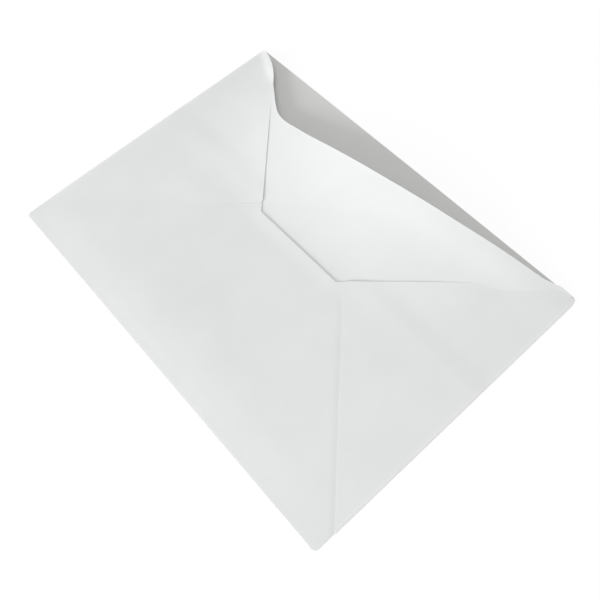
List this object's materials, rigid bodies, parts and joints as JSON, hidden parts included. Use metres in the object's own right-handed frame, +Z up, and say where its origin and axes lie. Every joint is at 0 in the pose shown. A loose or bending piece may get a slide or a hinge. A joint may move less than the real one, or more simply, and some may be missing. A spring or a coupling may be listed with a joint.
{
  "type": "paper envelope",
  "caption": "Paper envelope folded from one sheet, side flaps over the bottom flap, with its top slit open into a bowed mouth.",
  "frame": {"origin": "centre of the envelope's box, on the surface that the address side lies on", "axes": "+X along the long edges, +Y towards the open mouth, +Z up out of the flap side"},
  "size_m": [0.165, 0.1204, 0.0085],
  "materials": {
    "paper": "matte white wove paper"
  },
  "bodies": {
    "root": {"envelope": "paper"}
  },
  "joints": []
}
